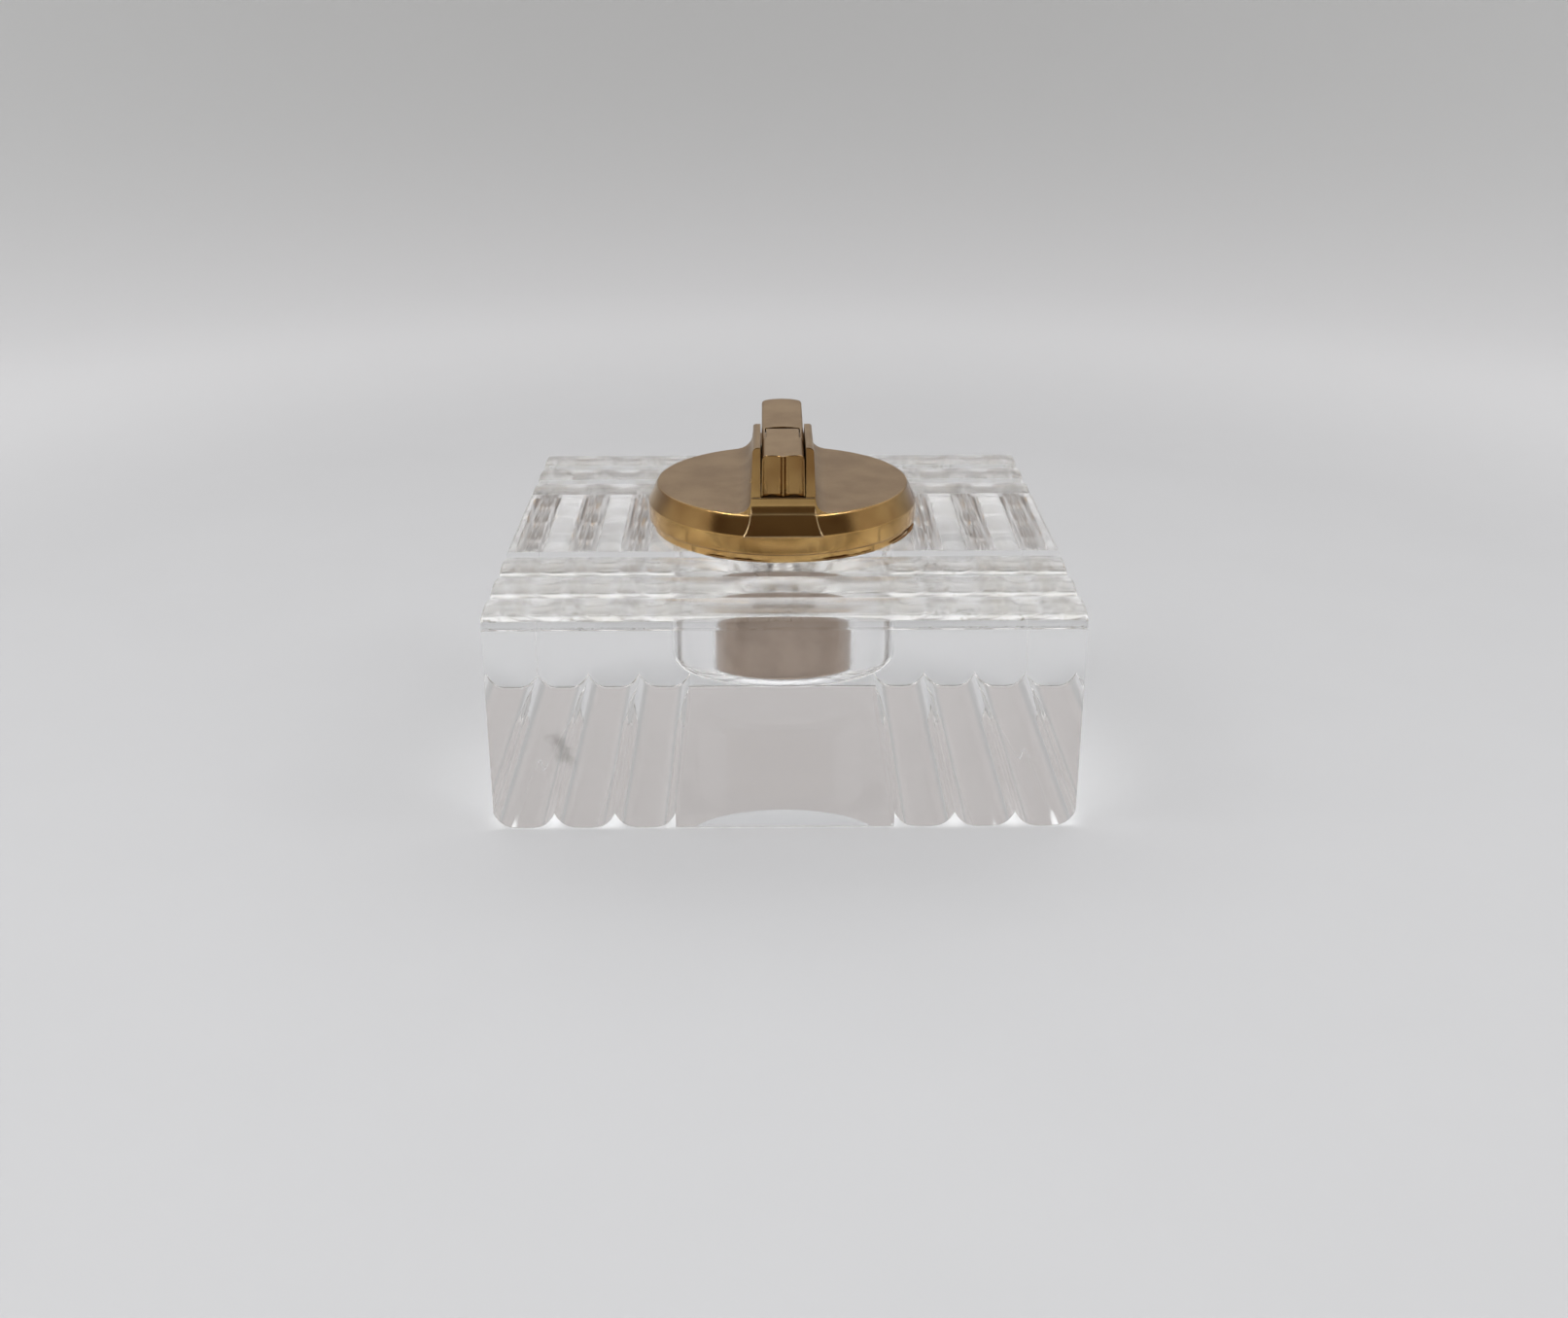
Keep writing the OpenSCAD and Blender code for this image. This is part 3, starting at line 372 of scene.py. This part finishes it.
def make_block():
    """The ribbed top and underside as two sheets of faces, joined by four plain walls."""
    tops = with_edge_places(rib_places(HALF_D, TOP_PITCH, top_drop), HALF_D, FRONT_EDGE_R)
    bases = with_edge_places(rib_places(HALF_W, BASE_PITCH, base_drop), HALF_W, FOOT_EDGE_R)
    verts, faces = [], []

    def sheet(xs, ys, height):
        first = len(verts)
        verts.extend((x, y, height(x, y, dx + dy)) for x, dx in xs for y, dy in ys)
        rows = len(ys)
        for i in range(len(xs) - 1):
            for j in range(rows - 1):
                a = first + i * rows + j
                faces.append([a, a + 1, a + rows + 1, a + rows])
        return [[first + i * rows + j for j in range(rows)] for i in range(len(xs))]

    def top_height(x, y, depth):
        edges = edge_drop(HALF_W - abs(x), SIDE_EDGE_R) + edge_drop(HALF_D - abs(y), FRONT_EDGE_R)
        return BLOCK_TOP - depth - edges

    def base_height(x, y, depth):
        edges = edge_drop(HALF_W - abs(x), FOOT_EDGE_R) + edge_drop(HALF_D - abs(y), FOOT_EDGE_R)
        return depth + edges

    top = sheet([(x, 0.0) for x in edge_places(HALF_W, SIDE_EDGE_R)], tops, top_height)
    base = sheet(bases, [(y, 0.0) for y in edge_places(HALF_D, FOOT_EDGE_R)], base_height)
    for end in (0, -1):
        faces.append([row[end] for row in base] + [row[end] for row in reversed(top)])
    for end in (0, -1):
        faces.append(base[end] + top[end][::-1])
    block = new_object("crystal_block", verts, faces)
    face_outwards(block)
    return block


def make_corner_prism():
    """A cutter that rounds the four upright edges of the block."""
    outline = []
    for cx, cy, start in ((1, 1, 0), (-1, 1, 90), (-1, -1, 180), (1, -1, 270)):
        for k in range(EDGE_STEPS + 1):
            a = math.radians(start + 90 * k / EDGE_STEPS)
            x = cx * (HALF_W - CORNER_R) + CORNER_R * math.cos(a)
            y = cy * (HALF_D - CORNER_R) + CORNER_R * math.sin(a)
            outline.append((x, y))
    count = len(outline)
    verts = [(x, y, z) for z in (-CUTTER_EXCESS, BLOCK_TOP + CUTTER_EXCESS) for x, y in outline]
    faces = [list(range(count))[::-1], [count + k for k in range(count)]]
    faces += [[k, (k + 1) % count, count + (k + 1) % count, count + k] for k in range(count)]
    return new_object("corner_prism", verts, faces)


def make_pocket():
    """A cutter for the round pocket, with a round corner at its floor."""
    outline = [(0, POCKET_FLOOR)]
    for k in range(POCKET_CORNER_STEPS + 1):
        a = math.radians(-90 + 90 * k / POCKET_CORNER_STEPS)
        outline.append((POCKET_R - POCKET_CORNER_R + POCKET_CORNER_R * math.cos(a),
                        POCKET_FLOOR + POCKET_CORNER_R + POCKET_CORNER_R * math.sin(a)))
    outline += [(POCKET_R, BLOCK_TOP + CUTTER_EXCESS), (0, BLOCK_TOP + CUTTER_EXCESS)]
    return revolve("pocket", outline)


def block_finish(slope, place):
    """Number of the finish for a face of the block, from its normal and its centre."""
    if slope[2] > WORN_SLOPE:
        return FLAT if abs(place[1]) < HALF_D - RIB_COUNT * TOP_PITCH else WORN
    # Flank faces take a darker tone: painted shade of the block's shadow behind it
    if slope[2] > SLIGHT_SLOPE and abs(place[1]) > HALF_D - FLANK_RUN:
        return FLANK
    if slope[2] < -DOWN_SLOPE:
        return SCUFFED
    if slope[2] < -SLIGHT_SLOPE or place[2] < FOOT_EDGE_R:
        return GROOVE
    return REAR if slope[1] > REAR_SLOPE else PLAIN


def glass_block(finishes):
    """The whole block, with its faces sorted by finish before the pocket is cut."""
    block = make_block()
    prism = make_corner_prism()
    pocket = make_pocket()
    for obj in (block, prism, pocket):
        for finish in finishes:
            obj.data.materials.append(finish)
    for polygon in pocket.data.polygons:
        # The pocket's floor takes the flank finish, and with it the flank's painted shade.
        polygon.material_index = FLANK if abs(polygon.normal[2]) > WORN_SLOPE else POCKET
    for polygon in block.data.polygons:
        polygon.material_index = block_finish(polygon.normal, polygon.center)
    add_boolean(block, prism, "INTERSECT")
    add_boolean(block, pocket, "DIFFERENCE")
    apply_modifiers(block)
    for cutter in (prism, pocket):
        bpy.data.objects.remove(cutter)
    smooth(block)
    block.data.set_sharp_from_angle(angle=math.radians(SHARP_DEGREES))
    weighted = block.modifiers.new("Weighted normals", "WEIGHTED_NORMAL")
    weighted.keep_sharp = True
    weighted.weight = NORMAL_WEIGHT
    apply_modifiers(block)
    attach(block, "block")
    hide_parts("glass_block")


# ---------------------------------------------------------------- materials
class Nodes:
    """A short way to write a node tree: add() makes a node and links its inputs."""

    def __init__(self, tree):
        self.tree = tree
        self.tree.nodes.clear()

    def add(self, kind, settings=None, **inputs):
        """Inputs are named as on the node, with _ for a space, or i0, i1 and so on."""
        node = self.tree.nodes.new(kind)
        for name, value in (settings or {}).items():
            setattr(node, name, value)
        for name, value in inputs.items():
            numbered = name[0] == "i" and name[1:].isdigit()
            self.set(node.inputs[int(name[1:]) if numbered else name.replace("_", " ")], value)
        return node

    def set(self, socket, value):
        if isinstance(value, bpy.types.NodeSocket):
            self.tree.links.new(value, socket)
        elif isinstance(value, bpy.types.Node):
            self.tree.links.new(value.outputs[0], socket)
        else:
            socket.default_value = value

    def math(self, operation, a, b=0.0, clamp=False):
        settings = {"operation": operation, "use_clamp": clamp}
        return self.add("ShaderNodeMath", settings, i0=a, i1=b).outputs[0]

    def line(self, value, factor, offset):
        """The value times the factor, plus the offset."""
        settings = {"operation": "MULTIPLY_ADD"}
        return self.add("ShaderNodeMath", settings, i0=value, i1=factor, i2=offset).outputs[0]

    def rest(self, share):
        """What is left of 1."""
        return self.math("SUBTRACT", 1.0, share)

    def ramp(self, value, low, high):
        """0 below low, 1 above high, and smooth between them."""
        return self.add("ShaderNodeMapRange", {"interpolation_type": "SMOOTHSTEP"},
                        Value=value, From_Min=low, From_Max=high).outputs[0]

    def mix(self, share, a, b):
        """A colour that goes from a to b."""
        return self.add("ShaderNodeMix", {"data_type": "RGBA"}, i0=share, i6=a, i7=b).outputs[2]

    def blend(self, share, a, b):
        """A number that goes from a to b."""
        return self.add("ShaderNodeMix", {"data_type": "FLOAT"}, i0=share, i2=a, i3=b).outputs[0]

    def shades(self, share, colors):
        """A colour between two sRGB colours of 0 to 255."""
        return self.mix(share, *map(shade, colors))

    def place(self):
        return self.add("ShaderNodeTexCoord").outputs["Object"]

    def split(self, vector):
        return self.add("ShaderNodeSeparateXYZ", None, Vector=vector).outputs

    def radius(self, place):
        """Distance from the upright axis."""
        squares = [self.math("POWER", place[k], 2.0) for k in (0, 1)]
        return self.math("SQRT", self.math("ADD", *squares))

    def noise(self, scale, detail, stretch=None):
        place = self.place()
        if stretch:
            place = self.add("ShaderNodeMapping", None, Vector=place, Scale=stretch)
        return self.add("ShaderNodeTexNoise", None, Vector=place, Scale=scale,
                        Detail=detail).outputs[0]

    def cloud(self, scale, detail, low, high, stretch=None):
        """Noise as a share of 0 to 1."""
        return self.ramp(self.noise(scale, detail, stretch), low, high)

    def bump(self, height, strength, distance):
        return self.add("ShaderNodeBump", None, Height=height, Strength=strength,
                        Distance=distance)

    def surface(self, shader):
        self.add("ShaderNodeOutputMaterial", None, Surface=shader)


def material(name):
    made = bpy.data.materials.new(name)
    made.use_nodes = True
    return made, Nodes(made.node_tree)


def shade(color):
    """An sRGB colour of 0 to 255 as linear values."""
    linear = []
    for c in color:
        c = c / 255
        linear.append(c / 12.92 if c <= 0.04045 else ((c + 0.055) / 1.055) ** 2.4)
    return (*linear, 1)


def glass(name, roughness, clearness=1.0, dust=0.0, shadow_tone=0.72, grime=None, tone=0.985,
          smudge=None):
    """Clear crystal: a rubbed face is rougher, a little milky, and holds specks of dust. The tone
    greys the colour slightly, and the flank's lower tone is painted shade. The shadow tone is the
    share of the lamps' light that each face lets through."""
    made, n = material(name)
    rough = n.math("MULTIPLY", n.line(n.cloud(*GLASS_CLOUD), *GLASS_CLOUD_ROUGH), roughness)
    specks = n.math("MULTIPLY", n.cloud(*DUST_SPECKS), n.cloud(*DUST_PATCHES))
    tint = n.mix(n.math("MULTIPLY", specks, dust, True), (tone, tone, tone, 1), DUST_COLOR)
    if grime:
        tint = n.mix(n.cloud(*GRIME_STREAKS, GRIME_STRETCH), tint, grime)
    if smudge:
        place, turn, size = smudge
        near = n.add("ShaderNodeMapping", {"vector_type": "TEXTURE"}, Vector=n.place(),
                     Location=place, Rotation=(0, turn, 0), Scale=size)
        away = n.add("ShaderNodeVectorMath", {"operation": "LENGTH"}, i0=near).outputs["Value"]
        patchy = n.math("ADD", away, n.math("MULTIPLY", n.noise(*SMUDGE_NOISE), SMUDGE_SPREAD))
        tint = n.mix(n.ramp(patchy, *SMUDGE_RIM), SMUDGE_COLOR, tint)
    bsdf = n.add("ShaderNodeBsdfPrincipled", None, Base_Color=tint, Roughness=rough,
                 IOR=GLASS_IOR, Transmission_Weight=clearness)
    through = n.add("ShaderNodeBsdfTransparent", None,
                    Color=(shadow_tone, shadow_tone, shadow_tone, 1))
    shadow = n.add("ShaderNodeLightPath").outputs["Is Shadow Ray"]
    n.surface(n.add("ShaderNodeMixShader", None, i0=shadow, i1=bsdf, i2=through))
    return made


def metal(name, color, dull_color, roughness, grain=0.0):
    """Plain metal with cloudy tarnish between two colours."""
    made, n = material(name)
    tarnish = n.math("MULTIPLY", n.cloud(*TARNISH), TARNISH_SHARE)
    fine = n.noise(*METAL_GRAIN)
    rough = n.line(fine, METAL_GRAIN_SPREAD, roughness - METAL_GRAIN_BELOW)
    n.surface(n.add("ShaderNodeBsdfPrincipled", None, Metallic=1.0, Roughness=rough,
                    Base_Color=n.shades(tarnish, (color, dull_color)),
                    Normal=n.bump(fine, grain, METAL_GRAIN_DEPTH)))
    return made


def gilt(name):
    """Satin gilt on the tops, browner polished gilt on slopes and fronts, yellower on the rim,
    brown where the rim meets the glass, and paler along rounded edges: partly wear, partly a
    painted highlight."""
    made, n = material(name)
    place = n.split(n.place())
    facing = n.split(n.add("ShaderNodeTexCoord").outputs["Normal"])
    outside = n.ramp(n.radius(place), *TOP_STEP)
    upward = n.ramp(facing[2], *UPWARD_STEP)
    endways = n.ramp(n.math("ABSOLUTE", facing[1]), *ENDWAYS_STEP)
    polished = n.math("MULTIPLY", n.math("MAXIMUM", outside, endways), n.rest(upward), True)
    upright = n.rest(n.ramp(n.math("ABSOLUTE", facing[2]), *UPRIGHT_STEP))

    cloud = n.cloud(*GILT_CLOUD)
    satin = n.shades(cloud, GILT_SATIN)
    slope = n.shades(n.cloud(*GILT_BROAD), GILT_SLOPE)
    waves = n.math("MULTIPLY", n.noise(*FOOT_NOISE), FOOT_WAVES)
    foot = n.rest(n.ramp(n.math("ADD", place[2], waves), *FOOT_STEP))
    rim = n.mix(n.math("MULTIPLY", foot, FOOT_SHARE), n.shades(cloud, GILT_RIM),
                shade(GILT_FOOT))
    bright = n.mix(n.math("MULTIPLY", outside, upright), slope, rim)

    rounded = n.add("ShaderNodeBevel", {"samples": EDGE_SAMPLES}, Radius=EDGE_ROUND_R)
    true_normal = n.add("ShaderNodeNewGeometry").outputs["Normal"]
    turned = n.add("ShaderNodeVectorMath", {"operation": "DOT_PRODUCT"}, i0=rounded,
                   i1=true_normal).outputs["Value"]
    # Paler along rounded edges: partly wear, partly a painted highlight.
    edge_wear_and_highlight = n.math("MULTIPLY", n.rest(n.ramp(turned, *EDGE_STEP)),
                  n.ramp(facing[2], *UPRIGHT_STEP))
    tint = n.mix(n.math("MULTIPLY", edge_wear_and_highlight, EDGE_SHARE), n.mix(polished, satin, bright),
                 shade(GILT_EDGE_WEAR_AND_HIGHLIGHT))

    fine = n.noise(*GILT_GRAIN)
    rough = n.blend(polished, n.line(fine, *SATIN_ROUGH), n.line(cloud, *POLISHED_ROUGH))
    bump = n.bump(fine, GILT_GRAIN_STRENGTH, GILT_GRAIN_DEPTH)
    n.set(bump.inputs["Normal"], rounded)
    n.surface(n.add("ShaderNodeBsdfPrincipled", None, Base_Color=tint, Metallic=1.0,
                    Roughness=rough, Normal=bump))
    return made


def soft(name, color, dark, roughness, scale):
    """Rubber, fibre or cotton: no metal, with a fine uneven surface."""
    made, n = material(name)
    grain = n.noise(scale, SOFT_DETAIL)
    n.surface(n.add("ShaderNodeBsdfPrincipled", None, Roughness=roughness,
                    Base_Color=n.shades(n.ramp(grain, *SOFT_STEP), (dark, color)),
                    Normal=n.bump(grain, SOFT_STRENGTH, SOFT_DEPTH)))
    return made


# ---------------------------------------------------------------- small pieces of the object
def residue(name, start, stop, thick, finish):
    """An uneven strip of dried fuel and dust along the lip of the cover, between two angles."""
    verts, faces = [], []
    for k in range(RESIDUE_STEPS + 1):
        share = k / RESIDUE_STEPS
        turn = math.radians(start + (stop - start) * share)
        slow = RESIDUE_SLOW[0] * math.sin(RESIDUE_SLOW[1] * share + start)
        fast = RESIDUE_FAST[0] * math.sin(RESIDUE_FAST[1] * share * share)
        swell = RESIDUE_MEAN + slow + fast
        size = thick * swell * math.sin(math.pi * share) ** 0.5 + RESIDUE_LEAST
        for side in range(RESIDUE_SIDES):
            around = 2 * math.pi * side / RESIDUE_SIDES
            r = LIP_R + RESIDUE_OUT + size * math.cos(around)
            verts.append((r * math.cos(turn), r * math.sin(turn),
                          BLOCK_TOP + RESIDUE_UP + size * (1 + math.sin(around))))
    for row in range(0, RESIDUE_SIDES * RESIDUE_STEPS, RESIDUE_SIDES):
        for side in range(RESIDUE_SIDES):
            near, far = row + side, row + (side + 1) % RESIDUE_SIDES
            faces.append((near, far, far + RESIDUE_SIDES, near + RESIDUE_SIDES))
    faces.append(tuple(range(RESIDUE_SIDES)))
    faces.append(tuple(range(len(verts) - RESIDUE_SIDES, len(verts))))
    obj = new_object(name, verts, faces)
    face_outwards(obj)
    smooth(obj)
    obj.data.materials.append(finish)
    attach(obj, "insert")


def flexing_spring():
    """The return spring as a piece of its own, riding on the insert."""
    node = NODES["return_spring"]
    obj = bpy.data.objects.new("coil_spring", node.data.copy())
    bpy.context.scene.collection.objects.link(obj)
    obj.matrix_world = node.matrix_world.copy()
    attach(obj, "insert")
    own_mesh(obj)
    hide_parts("return_spring")


# ---------------------------------------------------------------- stage, lights and camera
def make_sweep():
    """A shallow bowl of paper, painted lighter and darker in rings as light and shade. Metal sees
    its front wall painted as dark as the room beyond: a painted reflection.
    """
    outline = [(0, -FLOOR_GAP), (FLOOR_R / 2, -FLOOR_GAP)]
    for k in range(SWEEP_STEPS + 1):
        a = math.radians(-90 + SWEEP_DEGREES * k / SWEEP_STEPS)
        outline.append((FLOOR_R + SWEEP_R * math.cos(a),
                        -FLOOR_GAP + SWEEP_R * (1 + math.sin(a))))
    brim_r, brim_z = outline[-1]
    outline.append((brim_r + WALL_H * WALL_LEAN, brim_z + WALL_H))
    sweep = revolve("sweep", outline, SWEEP_AROUND)
    smooth(sweep)

    made, n = material("sweep_paper")
    place = n.split(n.place())
    radius = n.radius(place)
    # The rings of colour outwards are painted light and shade.
    near = n.shades(n.noise(*PAPER_NOISE), (PAPER_NEAR, [c + PAPER_UNEVEN for c in PAPER_NEAR]))
    mid = n.mix(n.ramp(radius, *NEAR_TO_MID), near, shade(PAPER_MID))
    far = n.mix(n.ramp(radius, *MID_TO_FAR), mid, shade(PAPER_FAR))
    high = n.mix(n.ramp(radius, *FAR_TO_HIGH), far, shade(PAPER_HIGH))
    # Painted reflection: the front wall turns to the room's dark colour only for glossy rays that
    # haven't gone through glass.
    forward = n.math("DIVIDE", n.math("MULTIPLY", place[1], -1.0), radius)
    front_wall = n.math("MULTIPLY", n.ramp(forward, *ROOM_AHEAD), n.ramp(radius, *ROOM_WALL))
    path = n.add("ShaderNodeLightPath").outputs
    mirrored = n.math("MULTIPLY", path["Is Glossy Ray"],
                      n.math("LESS_THAN", path["Transmission Depth"], THROUGH_GLASS))
    tint = n.mix(n.math("MULTIPLY", front_wall, mirrored), high, ROOM_COLOR)
    n.surface(n.add("ShaderNodeBsdfPrincipled", None, Base_Color=tint, Roughness=PAPER_ROUGH,
                    Specular_IOR_Level=PAPER_GLOSS))
    sweep.data.materials.append(made)


def area_light(name, place, power):
    lamp = bpy.data.lights.new(name, "AREA")
    lamp.shape = "SQUARE"
    lamp.size = LAMP_SIZE
    lamp.energy = power
    lamp.cycles.use_multiple_importance_sampling = False
    obj = bpy.data.objects.new(name, lamp)
    obj.location = place
    way = Vector(LAMP_AIM) - Vector(place)
    obj.rotation_euler = way.to_track_quat("-Z", "Y").to_euler()
    bpy.context.scene.collection.objects.link(obj)


def make_world():
    """A white tent, dark overhead and in the middle of its front."""
    world = bpy.data.worlds.new("studio")
    bpy.context.scene.world = world
    world.use_nodes = True
    n = Nodes(world.node_tree)
    way = n.split(n.add("ShaderNodeTexCoord").outputs["Generated"])
    height = n.math("SUBTRACT", way[2], n.math("MULTIPLY", way[1], ROOF_LEAN))
    front = n.ramp(n.math("MULTIPLY", way[1], -1.0), *ROOM_FRONT)
    middle = n.rest(n.ramp(n.math("ABSOLUTE", way[0]), *ROOM_SIDES))
    roofed = n.mix(n.ramp(height, *ROOF_STEP), TENT_COLOR, ROOF_COLOR)
    tint = n.mix(n.math("MULTIPLY", front, middle), roofed, ROOM_COLOR)
    back = n.add("ShaderNodeBackground", None, Color=tint, Strength=1.0)
    n.add("ShaderNodeOutputWorld", None, Surface=back)
    world.cycles.sampling_method = "NONE"


def make_camera():
    data = bpy.data.cameras.new("camera")
    data.sensor_width = CAMERA_SENSOR
    data.lens = CAMERA_LENS
    data.clip_start = CAMERA_NEAREST
    camera = bpy.data.objects.new("camera", data)
    camera.location = CAMERA_PLACE
    camera.rotation_euler = [math.radians(turn) for turn in CAMERA_TURN]
    bpy.context.scene.collection.objects.link(camera)
    bpy.context.scene.camera = camera


make_camera()
make_world()
make_sweep()
for lamp in LAMPS:
    area_light(*lamp)

# ---------------------------------------------------------------- the object
glass_block([glass(**crystal) for crystal in CRYSTALS])
FINISHES = (
    (gilt("satin_gilt"), ("cover", "thumb_lever", "snuffer_hood")),
    (metal("polished_brass", (214, 176, 114), (170, 126, 72), roughness=0.14),
     ("base_plate", "filler_screw", "flint_tube", "flint_screw", "wick_tube", "snuffer_cup")),
    (metal("dull_tank", (186, 166, 149), (156, 136, 118), roughness=0.42, grain=0.3),
     ("fuel_tank", "tank_head")),
    (metal("hard_steel", (120, 118, 115), (86, 82, 78), roughness=0.32, grain=0.3),
     ("spark_wheel", "ratchet_wheel", "drive_pawl")),
    (metal("spring_steel", (198, 194, 186), (160, 154, 146), roughness=0.22),
     ("cover_screws", "wheel_axle", "lever_axle", "return_spring", "hood_pin", "flint_spring")),
    (soft("flint_alloy", (84, 84, 86), (60, 60, 62), roughness=0.7, scale=3000), ("flint",)),
    (soft("black_rubber", (38, 37, 36), (24, 23, 22), roughness=0.6, scale=1200),
     ("seal_ring", "snuffer_pad")),
    (soft("red_fibre", (96, 40, 30), (70, 26, 20), roughness=0.8, scale=2000),
     ("filler_gasket",)),
    (soft("cotton", (232, 228, 216), (206, 200, 186), roughness=0.95, scale=1500),
     ("cotton_packing", "wick")),
)
dry_residue = soft("dry_residue", (150, 108, 56), (104, 72, 38), roughness=0.8, scale=2600)
for k, (start, stop, thick) in enumerate(RESIDUES):
    residue(f"residue_{k + 1}", start, stop, thick, dry_residue)
for finish, names in FINISHES:
    for name in names:
        NODES[name].data.materials.clear()
        NODES[name].data.materials.append(finish)
flexing_spring()

# ---------------------------------------------------------------- settings
bpy.context.scene.view_settings.view_transform = "Standard"
bpy.context.scene.cycles.transmission_bounces = LIGHT_BOUNCES
bpy.context.scene.cycles.max_bounces = LIGHT_BOUNCES
bpy.context.scene.cycles.glossy_bounces = GLOSSY_BOUNCES
